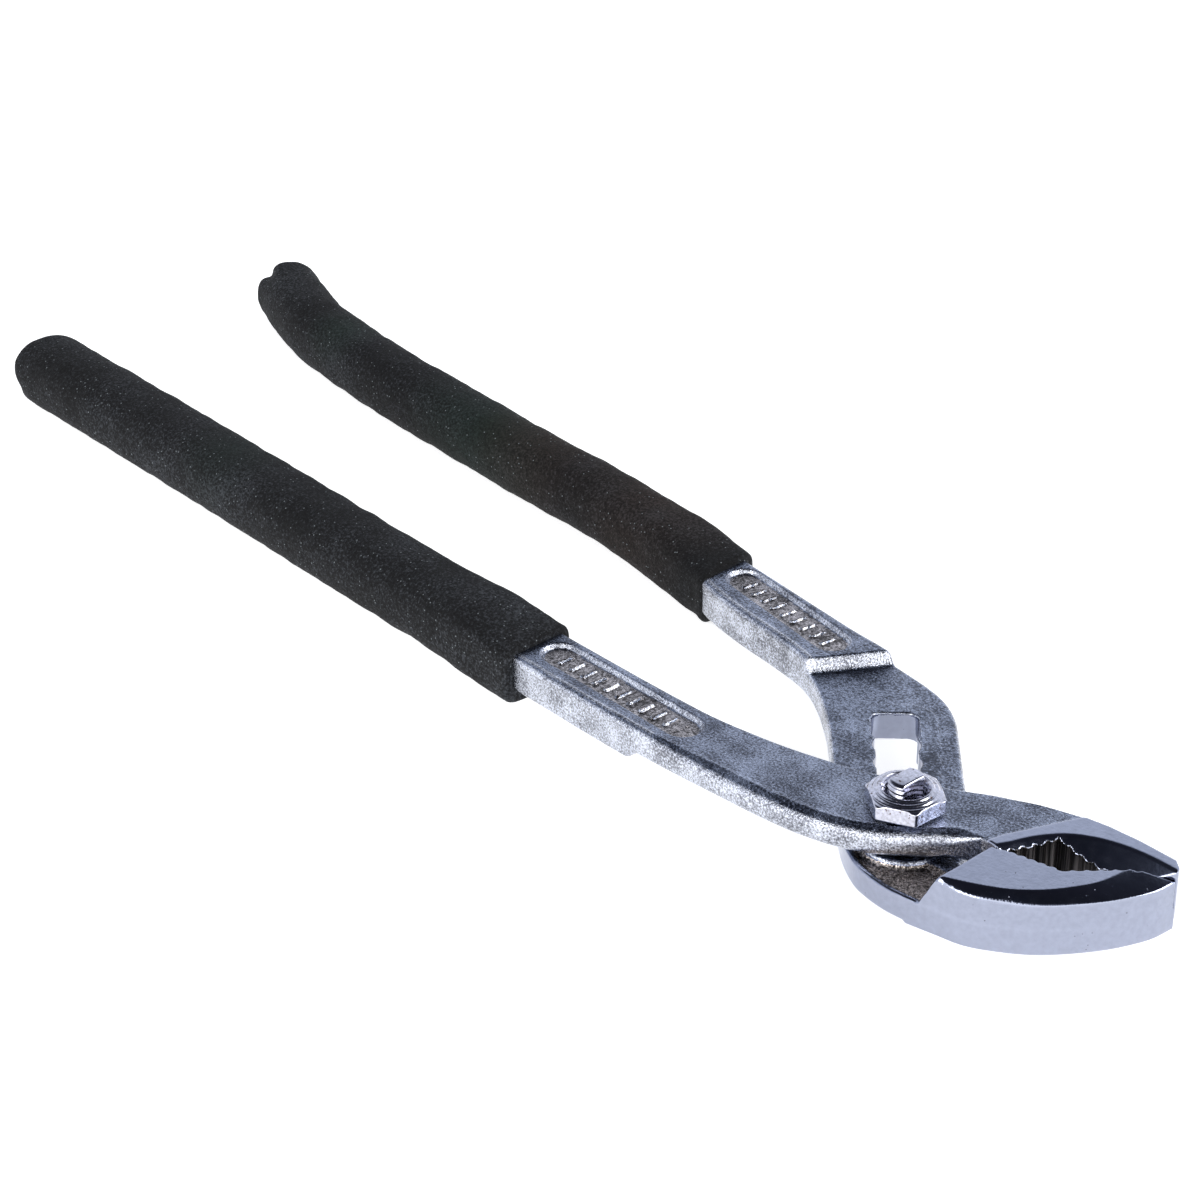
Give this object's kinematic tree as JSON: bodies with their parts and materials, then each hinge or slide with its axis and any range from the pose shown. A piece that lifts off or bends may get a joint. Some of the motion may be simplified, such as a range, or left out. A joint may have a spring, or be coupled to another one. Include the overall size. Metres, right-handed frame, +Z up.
{
  "type": "water-pump pliers",
  "caption": "Slip-joint water-pump pliers: an upper lever keyed to a bolt that steps along a lobed slot in the lower lever, with serrated jaws and foam grips.",
  "frame": {"origin": "on the pivot axis, at the underside of the bolt head, the plane the tool lies on", "axes": "+X from the handles to the nose of the jaws, +Y towards the slotted lever's handle, +Z up, out of the pivot nut"},
  "size_m": [0.25, 0.0732, 0.0175],
  "materials": {
    "chrome": "fine blasted chrome on a forging, polished at the jaws",
    "steel": "plated fastener with light rust spots",
    "foam": "matte black, sandy, slightly lumpy foam grip"
  },
  "bodies": {
    "lever_b_side": {"lever_b": "chrome", "grip_b": "foam"},
    "pivot_carriage": {"pivot_nut": "steel"},
    "lever_a_side": {"lever_a": "chrome", "grip_a": "foam", "pivot_bolt": "steel"}
  },
  "joints": [
    {"name": "slip_adjust", "type": "slide", "parent": "lever_b_side", "child": "pivot_carriage", "axis": [-0.7009, 0.7132, 0], "range_m": [0, 0.02928]},
    {"name": "jaw_pivot", "type": "hinge", "parent": "pivot_carriage", "child": "lever_a_side", "pos_m": [0, 0, 0], "axis": [0, 0, 1], "range_deg": [0, 50]}
  ]
}
